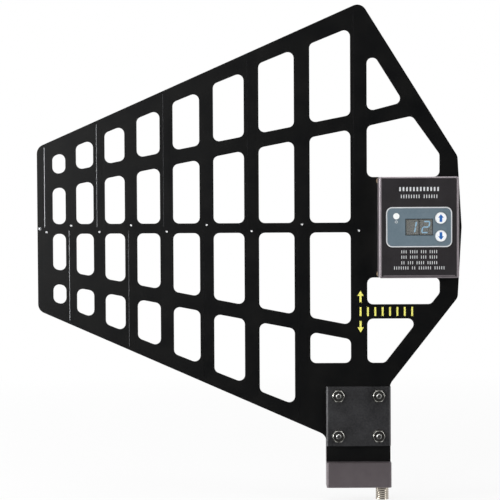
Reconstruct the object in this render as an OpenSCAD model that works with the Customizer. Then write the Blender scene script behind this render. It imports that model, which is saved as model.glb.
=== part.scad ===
// Log periodic antenna on a printed circuit board, with an amplifier box and a stand mount.
// X runs along the boom, away from the short tip. Z is up. The front of the board faces -Y.
// The origin is the mouth of the stand thread, in the middle of the mount block's lower face.

/* [Board outline] */
// Thickness of the circuit board
board_t = 1.6; // [1.2:0.1:2.4]
// Height of the boom's centre line above the mount block's lower face
boom_z = 186.5; // [180:0.5:200]
// Distance from the short tip edge to the mount's centre line
tip_to_mast = 230.1; // [226:0.1:236]
// Half the height of the short tip edge
tip_half_h = 58.5; // [54:0.5:62]
// Angle of the long slanted edges to the boom
edge_angle = 23.8; // [22.5:0.1:24.5]
// How far the apex lies past the mount's centre line
apex_out = 2.8; // [0:0.2:4]
// Distance of the two shoulders from the mount's centre line
shoulder_out = 71.7; // [69:0.1:74]
// Half the height between the shoulders
shoulder_half_h = 50.8; // [46:0.2:54]
// How far the rear edge bulges past the shoulders
nose_out = 2.9; // [0:0.1:5]
// Angle of the lower strut to the boom
strut_angle = 51.8; // [48:0.2:56]
// Width of the neck that goes down into the mount
neck_w = 45.8; // [43:0.2:48]
// Corner radius of the outline
outline_r = 6.8; // [3:0.2:8]
// Radius where the long lower edge turns into the neck
neck_r = 7.5; // [4:0.5:12]

/* [Lattice] */
// Width of the bar along the short tip edge
tip_bar_w = 11; // [9:0.2:13]
// Distance from the tip edge to the centre of the first inner bar
first_bar_u = 24.2; // [22:0.2:26]
// Gap between the centres of the first two inner bars
first_gap = 20.3; // [19:0.1:20.6]
// Growth of each gap over the one before it
gap_ratio = 1.123; // [1.1:0.001:1.125]
// Width of the first inner bar
first_bar_w = 7.6; // [6:0.2:9]
// Growth of each bar's width over the one before it
bar_w_step = 0.6; // [0.2:0.1:0.8]
// Width of the boom strip
boom_w = 7; // [6:0.2:9]
// Height of the ribs' centre line above the boom at the tip edge
rib_half_h = 31.7; // [29:0.1:34]
// Angle of the ribs to the boom
rib_angle = 11; // [9:0.2:12]
// Upright width of the ribs
rib_w = 10.3; // [8:0.1:12]
// Upright width of the rim outside the windows
rim_w = 11.6; // [9:0.1:13]
// Upright width of the rim outside the last, largest window
last_rim_w = 14; // [11:0.1:15]
// Angle of the windows' outer edges to the boom
window_edge_angle = 22; // [20:0.2:24]
// Corner radius of the windows
window_r = 4.2; // [2:0.2:4.4]

/* [Struts behind the lattice] */
// Width of the two slanted struts
strut_w = 12.2; // [10:0.1:14]
// Width of the rear edge's rim at the shoulders
side_rim_w = 12.9; // [10:0.2:15]
// Height of the first strut window's flat top above the boom
peak_window_top = 121.4; // [114:0.2:123]
// Rise of the brace's upper edge for each millimetre along
brace_top_rise = 0.26; // [0.2:0.01:0.3]
// Rise of the brace's lower edge for each millimetre along
brace_low_rise = 0.22; // [0.18:0.01:0.26]
// Height above the boom where the second window's slanted edge turns upright
second_window_knee = 52.4; // [49:0.2:55]
// Half the height of the solid field that carries the amplifier box
box_field_half_h = 36.1; // [34:0.1:40]
// Height of the third window below the field
third_window_h = 19.3; // [15:0.1:21]
// Upright width of the rib that carries the direction marks
mark_rib_w = 10.3; // [8:0.1:12]
// Height of the neck's solid top edge above the mount block's lower face
neck_top_z = 88.9; // [86:0.1:92]

/* [Copper and drilled holes] */
// Thickness of the copper under its lacquer
copper_t = 0.1; // [0.05:0.01:0.2]
// Width of the copper along the boom
boom_copper_w = 5.2; // [4:0.1:6]
// Width of the shortest copper arm
first_arm_w = 3.2; // [2.6:0.1:3.8]
// Bare board left between an arm's end and the board's edge
arm_end_gap = 3.6; // [2:0.1:6]
// Diameter of the drilled holes along the boom
via_d = 1; // [0.6:0.1:1.4]
// Distance of the drilled holes from the boom's centre line
via_offset = 2.3; // [1.6:0.1:2.6]
// Distance of the feed point from the tip edge
feed_in = 1.9; // [1.6:0.1:3]

/* [Direction marks] */
// Height of each arrow
arrow_h = 8.3; // [6:0.1:10]
// Width of each arrow's head
arrow_w = 4.5; // [3:0.1:6]
// Height of the upright bars between the arrows
mark_bar_h = 6.4; // [4:0.1:7.5]
// Width of the upright bars
mark_bar_w = 1.3; // [0.6:0.1:2]
// Spacing of the upright bars
mark_bar_gap = 5.3; // [4:0.1:6]
// Number of upright bars
mark_bars = 8; // [4:1:8]

/* [Amplifier box] */
// Height of the amplifier box
box_h = 72; // [70.5:0.1:73.5]
// Depth of the amplifier box in front of the board
box_depth = 14; // [13:0.5:18]
// Distance of the box's centre from the mount's centre line
box_x = 42.8; // [42:0.1:43.4]
// Wall of the box
box_wall = 1.6; // [1.2:0.1:2]
// Radius of the box's corners seen from the front
box_corner_r = 1.6; // [1:0.1:2.5]
// Radius of the two long front edges
box_edge_r = 2; // [1:0.1:2.5]
// Chamfer of the two short front edges
box_chamfer = 0.6; // [0.3:0.1:1]
// Distance of the box's screws from its sides
post_in = 6.4; // [6:0.1:8]
// Radius of the screw posts in front of the amplifier board
post_r = 3.4; // [3:0.1:4]
// Radius of the posts where they pass through the amplifier board
post_tip_r = 2.3; // [2:0.1:2.6]
// Diameter of the box's screws
box_screw_d = 2.8; // [2.4:0.1:3.2]
// Length of the box's screws under their heads
box_screw_l = 8; // [6:0.5:9]
// Radius of the gold pads under the box's corners
pad_r = 2.2; // [1.6:0.1:2.3]
// Distance of the gold pads' centres from the box's sides
pad_side_in = 1.3; // [1:0.1:3]
// Distance of the gold pads' centres from the box's ends
pad_end_in = 2.6; // [2.3:0.1:4]

/* [Front of the box] */
// Thickness of the front label
label_t = 0.25; // [0.15:0.05:0.4]
// Strip of bare box beside the label
label_side = 2.1; // [1.8:0.1:3]
// Strip of bare box above and below the label
label_end = 1.2; // [0.8:0.1:2]
// Strip of label beside the control panel
panel_side = 3.1; // [2.4:0.1:3.6]
// Height of the control panel
panel_h = 28.5; // [27:0.1:31]
// Corner radius of the control panel
panel_r = 4.3; // [3:0.1:6]
// Height of the control panel's centre above the box's centre
panel_up = 0.3; // [-1:0.1:2]
// Width of the display
display_w = 19.7; // [18.5:0.1:20.5]
// Height of the display
display_h = 12; // [11.5:0.1:14]
// Depth of the display behind the panel
display_depth = 6.8; // [6.2:0.1:7.4]
// Height of the digits
digit_h = 8.8; // [7:0.1:9.2]
// Width of a digit
digit_w = 5.4; // [4.5:0.1:5.8]
// Width of the digits' strokes
stroke_w = 0.95; // [0.6:0.05:1.2]
// Lean of the digits
digit_lean = 10; // [0:1:12]
// Radius of the two buttons
button_r = 3.95; // [3.5:0.05:4.2]
// Strip of panel between the display and a button's hole
button_inner_strip = 1.35; // [0.9:0.05:1.8]
// Strip of panel between a button's hole and the panel's side
button_outer_strip = 3.8; // [3.2:0.1:4.4]
// Half the distance between the two buttons
button_half_gap = 6.35; // [5.6:0.05:7]
// How far the buttons stand in front of the panel
button_proud = 0.6; // [0.5:0.05:0.9]
// Travel of the buttons
button_travel = 0.4; // [0.2:0.05:0.45]
// Radius of the power lamp's lens
lamp_r = 2.2; // [1.6:0.1:2.6]
// Distance of the power lamp from the panel's side
lamp_in = 7.2; // [6:0.1:8.4]
// Height of the power lamp above the panel's centre
lamp_up = 7.8; // [6:0.1:9]

/* [Mount] */
// Width of the mount block and the clamp plate
mount_w = 46.4; // [46:0.2:50]
// Depth of the mount block from front to back
mount_depth = 19; // [18.4:0.2:30]
// Height of the mount block's front part
mount_base_h = 17.7; // [17:0.1:20]
// Depth of the slot that holds the end of the neck
slot_depth = 5; // [3:0.1:5.4]
// Height of the clamp plate
plate_h = 42.8; // [40:0.2:46]
// Height of the clamp plate's lower edge above the mount block's lower face
plate_z = 29.2; // [27:0.2:32]
// Thickness of the clamp plate
plate_t = 3; // [2:0.1:5]
// Chamfer of the mount's upright edges
mount_chamfer = 1.2; // [0.5:0.1:2]
// Spacing of the four clamp screws, both ways
screw_pitch = 29; // [26:0.2:31]
// Height of the clamp screws' middle above the clamp plate's middle
screws_up = 0.4; // [-1:0.1:1]
// Diameter of the clamp screws
screw_d = 3.5; // [3:0.1:4]
// Width across the flats of the nuts
nut_af = 7.9; // [7:0.1:8.6]
// Thickness of the nuts
nut_t = 2.6; // [2:0.1:3.2]
// Outer radius of the toothed washers
washer_r = 4.9; // [4.5:0.1:5.4]
// Thickness of the toothed washers
washer_t = 0.7; // [0.4:0.05:1]
// Number of teeth on a washer
washer_teeth = 12; // [8:1:16]
// Length of screw that stands past the nut
screw_past_nut = 0.9; // [0.4:0.1:2]
// Radius of the clamp screws' heads
head_r = 3.2; // [2.8:0.1:3.6]
// Height of the clamp screws' heads
head_h = 2.4; // [1.8:0.1:3]
// Depth of the stand thread
stand_depth = 11; // [8:0.1:11.2]
// Inner diameter of the stand thread
stand_d = 14.9; // [12:0.1:15.2]

/* [Coaxial jack] */
// Distance of the jack from the mount's centre line
jack_x = 17; // [15.4:0.1:17.4]
// Outer diameter of the jack's threaded barrel
jack_d = 9.5; // [9:0.1:10]
// Length of the barrel below the mount block
jack_out = 9.4; // [6:0.1:12]
// Diameter of the barrel's plain root inside the mount block
jack_root_d = 8.4; // [8.2:0.1:8.8]
// Length of the root inside the mount block
jack_in = 9; // [6:0.1:10]
// Inner diameter of the barrel
jack_bore_d = 6.8; // [6:0.1:7.2]
// Depth of the insulator's face inside the barrel's end
insulator_in = 0.8; // [0.4:0.1:2]
// Diameter of the centre contact
contact_d = 1.8; // [1.4:0.1:2.4]
// Diameter of the contact's socket
socket_d = 1; // [0.8:0.1:1.1]
// Depth of the contact's socket
socket_depth = 6; // [3:0.1:8]

/* [Hidden] */

$fn = 48;

// Clearance of a fit that is pushed together
fit_gap = 0.05;
// Clearance round a screw in its hole
clamp_hole_gap = 0.15;
// Clearance round a moving button
button_gap = 0.25;
// Gap between a button's flange and the box's front wall
flange_gap = 0.12;
// Points on each rounded corner
arc_steps = 6;
// Number of inner bars
bars = 8;

// The box grows outwards from the display: the panel with its holes, the label, then bare metal
button_hole_r = button_r + button_gap;
panel_w = display_w + 2 * (button_inner_strip + 2 * button_hole_r + button_outer_strip);
box_w = panel_w + 2 * (panel_side + label_side);

board_front = -board_t / 2;
board_back = board_t / 2;
// Face of the copper, which the box rests on
copper_front = board_front - copper_t;

// Unit vector along v
function unit(v) = v / norm(v);
// Angle d brought between -180 and 180 degrees
function turn(d) = d > 180 ? d - 360 : d < -180 ? d + 360 : d;
// Points of the arc of radius r that rounds corner b between its neighbours a and c
function corner_arc(a, b, c, r) =
  let (
    u = unit(a - b),
    v = unit(c - b),
    half = acos(u * v) / 2,
    mid = b + unit(u + v) * r / sin(half),
    p = b + u * r / tan(half) - mid,
    q = b + v * r / tan(half) - mid,
    from = atan2(p.y, p.x),
    sweep = turn(atan2(q.y, q.x) - from)
  )
  [for (i = [0:arc_steps]) let (at = from + sweep * i / arc_steps) mid + r * [cos(at), sin(at)]];
// Outline through corners, each given as [x, y, radius]
function rounded(corners) =
  let (n = len(corners), flat = [for (k = corners) [k[0], k[1]]])
  [
    for (i = [0:n - 1])
      each corners[i][2] > 0
        ? corner_arc(flat[(i + n - 1) % n], flat[i], flat[(i + 1) % n], corners[i][2])
        : [flat[i]]
  ];
// Rectangle with one corner radius, centred on c
function rounded_rect(c, w, h, r) =
  rounded([for (s = [[-1, -1], [1, -1], [1, 1], [-1, 1]]) [c.x + s.x * w / 2, c.y + s.y * h / 2, r]]);

// Extrudes a drawing of the X-Z plane from y0 to y1
module slab(y0, y1) {
  translate([0, y1, 0]) rotate([90, 0, 0]) linear_extrude(y1 - y0) children();
}
// Round rod along Y
module rod(x, z, y0, y1, r) {
  translate([x, y1, z]) rotate([90, 0, 0]) cylinder(h = y1 - y0, r = r);
}

// The outline, measured from the mount's centre line and the boom
edge_slope = tan(edge_angle);
tip_x = -tip_to_mast;
apex_h = tip_half_h + edge_slope * (tip_to_mast + apex_out);
neck_left_h = tip_half_h + edge_slope * (tip_to_mast - neck_w / 2);
strut_slope = tan(strut_angle);
neck_right_h = shoulder_half_h + strut_slope * (shoulder_out - neck_w / 2);
neck_end_h = boom_z - (mount_base_h - slot_depth + fit_gap);
// Half the height of the board at distance x along the long edges
function edge_h(x) = tip_half_h + edge_slope * (x - tip_x);

// Bars of the lattice: their centres follow the log periodic growth of the gaps
function bar_x(k) = tip_x + first_bar_u + first_gap * (pow(gap_ratio, k) - 1) / (gap_ratio - 1);
function bar_w(k) = first_bar_w + bar_w_step * k;
// Centre of arm k, where arm 0 is the one on the tip bar
function arm_x(k) = k == 0 ? bar_x(0) - first_gap / gap_ratio + (tip_bar_w - bar_w(0)) / 8 : bar_x(k - 1);
function arm_w(k) = first_arm_w * pow(gap_ratio, k);
// Sides of window column k
function window_left(k) = k == 0 ? tip_x + tip_bar_w : bar_x(k - 1) + bar_w(k - 1) / 2;
function window_right(k) = bar_x(k) - bar_w(k) / 2;

// Edges of the ribs and the rim
function rib_h(x) = rib_half_h + tan(rib_angle) * (x - tip_x);
function outer_h(x, k) =
  let (mid = (window_left(k) + window_right(k)) / 2)
  edge_h(mid) - (k == bars - 1 ? last_rim_w : rim_w) + tan(window_edge_angle) * (x - mid);

// Corner radius in column k, which a narrow window limits
function column_r(k) = min(window_r, 0.46 * (window_right(k) - window_left(k)));

// The window of column k outside the rib
function outer_window(k) =
  let (a = window_left(k), b = window_right(k), r = column_r(k))
  [
    [a, rib_h(a) + rib_w / 2, r],
    [b, rib_h(b) + rib_w / 2, r],
    [b, outer_h(b, k), r],
    [a, outer_h(a, k), r]
  ];
// The window of column k between the boom and the rib
function inner_window(k) =
  let (a = window_left(k), b = window_right(k), r = column_r(k))
  [
    [a, boom_w / 2, r],
    [b, boom_w / 2, r],
    [b, rib_h(b) - rib_w / 2, r],
    [a, rib_h(a) - rib_w / 2, r]
  ];
// The same window below the boom
function below(w) = [for (p = w) [p[0], -p[1], p[2]]];
// The last lower window ends on the neck's flat top edge
neck_top_h = boom_z - neck_top_z;
function last_low_window() =
  let (k = bars - 1, a = window_left(k), b = window_right(k), r = column_r(k))
  [
    [a, -neck_top_h, r],
    [b, -neck_top_h, r],
    [b, -rib_h(b) - rib_w / 2, r],
    [a, -rib_h(a) - rib_w / 2, r]
  ];

// Inner edges of the struts: x on the strut's inner edge at height h
strut_left = bar_x(bars - 1) + bar_w(bars - 1) / 2;
upper_run = (shoulder_out - apex_out) / (apex_h - shoulder_half_h);
upper_shift = strut_w * norm([upper_run, 1]);
function upper_strut_x(h) = shoulder_out - upper_run * (h - shoulder_half_h) - upper_shift;
lower_shift = strut_w / sin(strut_angle);
function lower_strut_x(h) = shoulder_out - (-h - shoulder_half_h) / strut_slope - lower_shift;
// Height where a line that leaves the last bar at height h0 meets the upper strut
function brace_end(h0, rise) =
  (h0 + rise * (upper_strut_x(0) - strut_left)) / (1 + rise * upper_run);
side_x = shoulder_out - side_rim_w;
brace_top_h = rib_h(strut_left) + rib_w / 2;
brace_low_h = rib_h(strut_left) - rib_w / 2;

peak_r = min(window_r, 0.6 * (upper_strut_x(peak_window_top) - strut_left));
peak_window =
  let (end = brace_end(brace_top_h, brace_top_rise))
  [
    [strut_left, brace_top_h, window_r],
    [upper_strut_x(end), end, window_r],
    [upper_strut_x(peak_window_top), peak_window_top, peak_r],
    [strut_left, peak_window_top, peak_r]
  ];
second_window =
  let (end = brace_end(brace_low_h, brace_low_rise))
  [
    [strut_left, box_field_half_h, window_r],
    [side_x, box_field_half_h, window_r],
    [side_x, second_window_knee, window_r],
    [upper_strut_x(end), end, window_r],
    [strut_left, brace_low_h, window_r]
  ];
third_low = -box_field_half_h - third_window_h;
side_knee = -shoulder_half_h + (lower_shift - side_rim_w) * strut_slope;
third_window = [
  [strut_left, third_low, window_r],
  [lower_strut_x(third_low), third_low, window_r],
  [side_x, side_knee, window_r],
  [side_x, -box_field_half_h, window_r],
  [strut_left, -box_field_half_h, window_r]
];
fourth_top = third_low - mark_rib_w;
fourth_window = [
  [strut_left, -neck_top_h, window_r],
  [lower_strut_x(-neck_top_h), -neck_top_h, window_r],
  [lower_strut_x(fourth_top), fourth_top, window_r],
  [strut_left, fourth_top, window_r]
];

board_outline = [
  [tip_x, -tip_half_h, outline_r],
  [-neck_w / 2, -neck_left_h, neck_r],
  [-neck_w / 2, -neck_end_h, 0],
  [neck_w / 2, -neck_end_h, 0],
  [neck_w / 2, -neck_right_h, neck_r],
  [shoulder_out, -shoulder_half_h, outline_r],
  [shoulder_out + nose_out, 0, outline_r],
  [shoulder_out, shoulder_half_h, outline_r],
  [apex_out, apex_h, outline_r],
  [tip_x, tip_half_h, outline_r]
];

// Side of the boom that arm k takes on the front: up, down, up and so on
function arm_side(k) = k % 2 == 0 ? 1 : -1;

// Places that several pieces share
function clamp_places() =
  let (h = screw_pitch / 2, mid = plate_z + plate_h / 2 + screws_up)
  [for (sx = [-1, 1], sz = [-1, 1]) [sx * h, mid + sz * h]];
function post_places() =
  let (across = box_w / 2 - post_in, up = box_h / 2 - post_in)
  [for (sx = [-1, 1], sz = [-1, 1]) [box_x + sx * across, boom_z + sz * up]];
pin_d = 0.8;
pin_gap = 4;
pin_in = 5.2;
// Input pins beside the boom, and output pins at the foot of the box
function pin_places() = concat(
  [for (i = [-1:1]) [box_x - box_w / 2 + pin_in, boom_z + i * pin_gap]],
  [for (i = [-1:1]) [box_x + i * pin_gap, boom_z - box_h / 2 + pin_in]]
);

module main_board() {
  color("#15161a")
  difference() {
    slab(board_front, board_back)
    translate([0, boom_z])
    difference() {
      polygon(rounded(board_outline));
      for (k = [0:bars - 1]) {
        polygon(rounded(outer_window(k)));
        polygon(rounded(inner_window(k)));
        polygon(rounded(below(inner_window(k))));
        if (k < bars - 1) polygon(rounded(below(outer_window(k))));
      }
      polygon(rounded(last_low_window()));
      polygon(rounded(peak_window));
      polygon(rounded(second_window));
      polygon(rounded(third_window));
      polygon(rounded(fourth_window));
    }
    for (k = [0:bars])
      rod(arm_x(k), boom_z - arm_side(k) * via_offset, board_front - 1, board_back + 1, via_d / 2);
    for (p = clamp_places())
      rod(p.x, p.y, board_front - 1, board_back + 1, screw_d / 2 + clamp_hole_gap);
    for (p = post_places())
      rod(p.x, p.y, board_front - 1, board_back + 1, box_screw_d / 2 + clamp_hole_gap);
    for (p = pin_places())
      rod(p.x, p.y, board_front - 1, board_back + 1, pin_d / 2 + fit_gap);
    rod(tip_x + feed_in, boom_z, board_front - 1, board_back + 1, via_d / 2);
  }
}

// Copper boom with arms that leave it on alternate sides, kept clear of the drilled holes
feed_pad_w = 0.8;
via_clearance = 0.1;
module copper_pattern(flip) {
  copper_start = tip_x + feed_in - via_d / 2 - feed_pad_w;
  copper_end = box_x - box_w / 2 + pin_in - pin_gap / 2;
  clear_r = via_d / 2 + via_clearance;
  difference() {
    union() {
      translate([copper_start, boom_z - boom_copper_w / 2])
        square([copper_end - copper_start, boom_copper_w]);
      for (k = [0:bars]) {
        side = flip * arm_side(k);
        x = arm_x(k);
        w = arm_w(k);
        over_neck = side < 0 && x > -neck_w / 2;
        outer = over_neck ? boom_z - plate_z - plate_h : edge_h(x - w / 2);
        length = outer - arm_end_gap;
        translate([x - w / 2, side > 0 ? boom_z : boom_z - length]) square([w, length]);
      }
    }
    for (k = [0:bars]) translate([arm_x(k), boom_z - arm_side(k) * via_offset]) circle(r = clear_r);
    translate([tip_x + feed_in, boom_z]) circle(r = clear_r);
  }
}

module front_copper() {
  color("#1c1e22") slab(copper_front, board_front) copper_pattern(1);
}

module rear_copper() {
  color("#1c1e22") slab(board_back, board_back + copper_t) copper_pattern(-1);
}

// Soldered pin that joins the two copper sides at the feed point
solder_proud = 0.35;
module tip_solder() {
  ends = board_t / 2 + copper_t + solder_proud;
  color("#b9bcc0") rod(tip_x + feed_in, boom_z, -ends, ends, via_d / 2 - fit_gap);
}

// Painted arrows with a row of plain upright bars between them
mark_shift = 1;
mark_x = bar_x(bars - 1) + mark_shift;
arrow_gap = 1.6;
arrow_head_share = 0.45;
arrow_stem_share = 0.16;
module arrow_shape(tip_up) {
  s = tip_up ? 1 : -1;
  head = arrow_h * arrow_head_share;
  stem = arrow_w * arrow_stem_share;
  polygon([
    [0, s * arrow_h / 2],
    [s * arrow_w / 2, s * (arrow_h / 2 - head)],
    [s * stem, s * (arrow_h / 2 - head)],
    [s * stem, -s * arrow_h / 2],
    [-s * stem, -s * arrow_h / 2],
    [-s * stem, s * (arrow_h / 2 - head)],
    [-s * arrow_w / 2, s * (arrow_h / 2 - head)]
  ]);
}
module direction_marks() {
  mid_z = boom_z + third_low - mark_rib_w / 2;
  arrow_z = mark_rib_w / 2 + arrow_gap + arrow_h / 2;
  color("#d8c23a")
  slab(board_front - copper_t / 2, board_front) {
    for (s = [-1, 1]) translate([mark_x, mid_z + s * arrow_z]) arrow_shape(s > 0);
    for (i = [0:mark_bars - 1])
      translate([mark_x + i * mark_bar_gap - mark_bar_w / 2, mid_z - mark_bar_h / 2])
        square([mark_bar_w, mark_bar_h]);
  }
}

// Gold pads that show round the corners of the box
module corner_pads() {
  color("#b98f4a")
  slab(copper_front, board_front)
  for (sx = [-1, 1], sz = [-1, 1])
    translate([box_x + sx * (box_w / 2 - pad_side_in), boom_z + sz * (box_h / 2 - pad_end_in)])
      circle(r = pad_r);
}

// Levels of the amplifier box, front faces being the more negative ones
box_back_y = copper_front;
box_front_y = box_back_y - box_depth;
wall_back_y = box_front_y + box_wall;
label_y = box_front_y - label_t;
display_front_y = box_front_y;
amp_board_t = 1.6;
amp_front_y = display_front_y + display_depth;
amp_back_y = amp_front_y + amp_board_t;
panel_z = boom_z + panel_up;
button_x = box_x + display_w / 2 + button_inner_strip + button_hole_r;
lamp_x = box_x - panel_w / 2 + lamp_in;
lamp_z = panel_z + lamp_up;
switch_h = 3.2;
switch_face_y = amp_front_y - switch_h;

module amplifier_housing() {
  half_w = box_w / 2;
  half_h = box_h / 2;
  color("#2c2a2c")
  difference() {
    union() {
      difference() {
        intersection() {
          slab(box_front_y, box_back_y)
            polygon(rounded_rect([box_x, boom_z], box_w, box_h, box_corner_r));
          translate([box_x, 0, boom_z - half_h]) linear_extrude(box_h)
            polygon(rounded([
              [-half_w, box_front_y, box_edge_r],
              [half_w, box_front_y, box_edge_r],
              [half_w, box_back_y, 0],
              [-half_w, box_back_y, 0]
            ]));
          translate([box_x - half_w, 0, boom_z]) rotate([90, 0, 90]) linear_extrude(box_w)
            polygon([
              [box_front_y + box_chamfer, -half_h],
              [box_back_y, -half_h],
              [box_back_y, half_h],
              [box_front_y + box_chamfer, half_h],
              [box_front_y, half_h - box_chamfer],
              [box_front_y, -half_h + box_chamfer]
            ]);
        }
        translate([box_x - half_w + box_wall, wall_back_y, boom_z - half_h + box_wall])
          cube([box_w - 2 * box_wall, box_depth, box_h - 2 * box_wall]);
      }
      for (p = post_places()) {
        rod(p.x, p.y, wall_back_y, amp_front_y, post_r);
        rod(p.x, p.y, amp_front_y, box_back_y, post_tip_r);
      }
    }
    for (p = post_places())
      rod(p.x, p.y, amp_front_y, box_back_y + 1, box_screw_d / 2 + fit_gap);
    translate([box_x - display_w / 2 - fit_gap, box_front_y - 1, panel_z - display_h / 2 - fit_gap])
      cube([display_w + 2 * fit_gap, box_wall + 2, display_h + 2 * fit_gap]);
    for (s = [-1, 1])
      rod(button_x, panel_z + s * button_half_gap, box_front_y - 1, wall_back_y + 1, button_hole_r);
    rod(lamp_x, lamp_z, box_front_y - 1, wall_back_y + 1, lamp_r + fit_gap);
  }
}

label_r = 1;
module front_label() {
  color("#37312f")
  slab(label_y, box_front_y)
  difference() {
    polygon(rounded_rect([box_x, boom_z], box_w - 2 * label_side, box_h - 2 * label_end, label_r));
    polygon(rounded_rect([box_x, panel_z], panel_w + 2 * fit_gap, panel_h + 2 * fit_gap, panel_r));
  }
}

module control_panel() {
  color("#67788a")
  difference() {
    slab(label_y, box_front_y)
      polygon(rounded_rect([box_x, panel_z], panel_w, panel_h, panel_r));
    translate([box_x - display_w / 2, label_y - 1, panel_z - display_h / 2])
      cube([display_w, label_t + 2, display_h]);
    for (s = [-1, 1])
      rod(button_x, panel_z + s * button_half_gap, label_y - 1, box_front_y + 1, button_hole_r);
    rod(lamp_x, lamp_z, label_y - 1, box_front_y + 1, lamp_r + fit_gap);
  }
}

// Display with a sunk cell for each digit
cell_gap = 0.7;
cell_depth = 0.4;
segment_t = 0.2;
cell_w = (display_w - 3 * cell_gap) / 2;
module display_body() {
  color("#25211f")
  difference() {
    translate([box_x - display_w / 2, display_front_y, panel_z - display_h / 2])
      cube([display_w, display_depth, display_h]);
    for (s = [-1, 1])
      translate([
        box_x + s * (cell_w + cell_gap) / 2 - cell_w / 2,
        display_front_y - 1,
        panel_z - display_h / 2 + cell_gap
      ])
        cube([cell_w, 1 + cell_depth, display_h - 2 * cell_gap]);
  }
}

// One stroke of a digit from a to b, with pointed ends, leaning with the digit
function lean(p) = [p.x + p.y * tan(digit_lean), p.y];
function stroke(a, b) =
  let (d = unit(b - a) * stroke_w / 2, n = [-d.y, d.x], g = unit(b - a) * 0.1, p = a + g, q = b - g)
  [for (v = [p, p + d + n, q - d + n, q, q - d - n, p + d - n]) lean(v)];
// Ends of the seven strokes, from the top one round clockwise to the middle one
function digit_strokes() =
  let (w = (digit_w - stroke_w) / 2, h = (digit_h - stroke_w) / 2)
  [
    [[-w, h], [w, h]],
    [[w, h], [w, 0]],
    [[w, 0], [w, -h]],
    [[w, -h], [-w, -h]],
    [[-w, -h], [-w, 0]],
    [[-w, 0], [-w, h]],
    [[-w, 0], [w, 0]]
  ];
// Strokes that show a 1 and a 2
lit_strokes = [[1, 2], [0, 1, 3, 4, 6]];
module segments(lit) {
  slab(display_front_y + cell_depth - segment_t, display_front_y + cell_depth)
  for (cell = [0, 1], i = [0:6])
    if ((len(search(i, lit_strokes[cell])) > 0) == lit)
      translate([box_x + (cell * 2 - 1) * (cell_w + cell_gap) / 2, panel_z])
        polygon(stroke(digit_strokes()[i][0], digit_strokes()[i][1]));
}
module lit_segments() {
  color("#9fd4f2") segments(true);
}
module dark_segments() {
  color("#4a423d") segments(false);
}

// Clear pane flush with the panel in front of the display
module display_window() {
  color([0.75, 0.8, 0.82, 0.3])
  translate([box_x - display_w / 2 + fit_gap, label_y, panel_z - display_h / 2 + fit_gap])
    cube([display_w - 2 * fit_gap, label_t, display_h - 2 * fit_gap]);
}

// Lens with a rim behind the box's front wall
lamp_rim = 0.6;
lamp_rim_y = wall_back_y + lamp_rim;
module lamp_lens() {
  color("#f4f4f2") {
    rod(lamp_x, lamp_z, label_y, wall_back_y, lamp_r);
    rod(lamp_x, lamp_z, wall_back_y, lamp_rim_y, lamp_r + lamp_rim);
  }
}

lamp_body_w = 1.6;
module power_lamp() {
  front = lamp_rim_y + fit_gap;
  color("#e6e6dc")
  translate([lamp_x - lamp_body_w / 2, front, lamp_z - lamp_body_w / 2])
    cube([lamp_body_w, amp_front_y - front, lamp_body_w]);
}

// Cap with a sunk arrow, a flange behind the wall and a stem down to its switch
flange_over = 0.9;
flange_t = 1;
flange_front_y = wall_back_y + flange_gap;
flange_back_y = flange_front_y + flange_t;
stem_r = 1.5;
stem_gap = 0.1;
module button(z, arrow_up) {
  front = label_y - button_proud;
  sink = 0.15;
  color("#f5f6f7")
  difference() {
    union() {
      rod(button_x, z, front, flange_front_y, button_r);
      rod(button_x, z, flange_front_y, flange_back_y, button_r + flange_over);
      rod(button_x, z, flange_back_y, switch_face_y - button_travel - stem_gap, stem_r);
    }
    slab(front - 1, front + sink)
      translate([button_x, z]) button_arrow(arrow_up);
  }
}
// Arrow with a broad stem, as on the buttons
module button_arrow(up) {
  s = up ? 1 : -1;
  h = button_r * 0.68;
  w = button_r * 0.45;
  shaft = w * 0.45;
  barb = h * 0.1;
  polygon([
    [0, s * h],
    [s * w, s * barb],
    [s * shaft, s * barb],
    [s * shaft, -s * h],
    [-s * shaft, -s * h],
    [-s * shaft, s * barb],
    [-s * w, s * barb]
  ]);
}
module up_button() {
  button(panel_z + button_half_gap, true);
}
module down_button() {
  button(panel_z - button_half_gap, false);
}

// Two small push switches under the buttons
switch_w = 5.2;
module button_switches() {
  color("#3a3a3c")
  for (s = [-1, 1])
    translate([button_x - switch_w / 2, switch_face_y, panel_z + s * button_half_gap - switch_w / 2])
      cube([switch_w, switch_h, switch_w]);
}

amp_board_gap = 0.4;
module amplifier_board() {
  side = box_wall + amp_board_gap;
  color("#1f5a38")
  difference() {
    translate([box_x - box_w / 2 + side, amp_front_y, boom_z - box_h / 2 + side])
      cube([box_w - 2 * side, amp_board_t, box_h - 2 * side]);
    for (p = post_places()) rod(p.x, p.y, amp_front_y - 1, amp_back_y + 1, post_tip_r + fit_gap);
    for (p = pin_places()) rod(p.x, p.y, amp_front_y - 1, amp_back_y + 1, pin_d / 2 + fit_gap);
  }
}

// Two band filters on the back of the amplifier board
filter_size = [12, 3, 8];
filter_gap = 4;
parts_up = 10;
module filter_blocks() {
  pitch = filter_size.x + filter_gap;
  color("#c9cbce")
  for (s = [-1, 1])
    translate([box_x + s * pitch / 2 - filter_size.x / 2, amp_back_y, boom_z + parts_up]) cube(filter_size);
}

// Three amplifier chips below them
chip_size = [5, 1.2, 5];
chip_gap = 6;
module amplifier_chips() {
  pitch = chip_size.x + chip_gap;
  color("#222224")
  for (i = [-1:1])
    translate([box_x + i * pitch - chip_size.x / 2, amp_back_y, boom_z - parts_up - chip_size.z])
      cube(chip_size);
}

pin_front = 1;
pin_tail = 1.2;
module feed_pins() {
  color("#c8a95a")
  for (p = pin_places()) rod(p.x, p.y, amp_front_y - pin_front, board_back + pin_tail, pin_d / 2);
}

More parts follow.
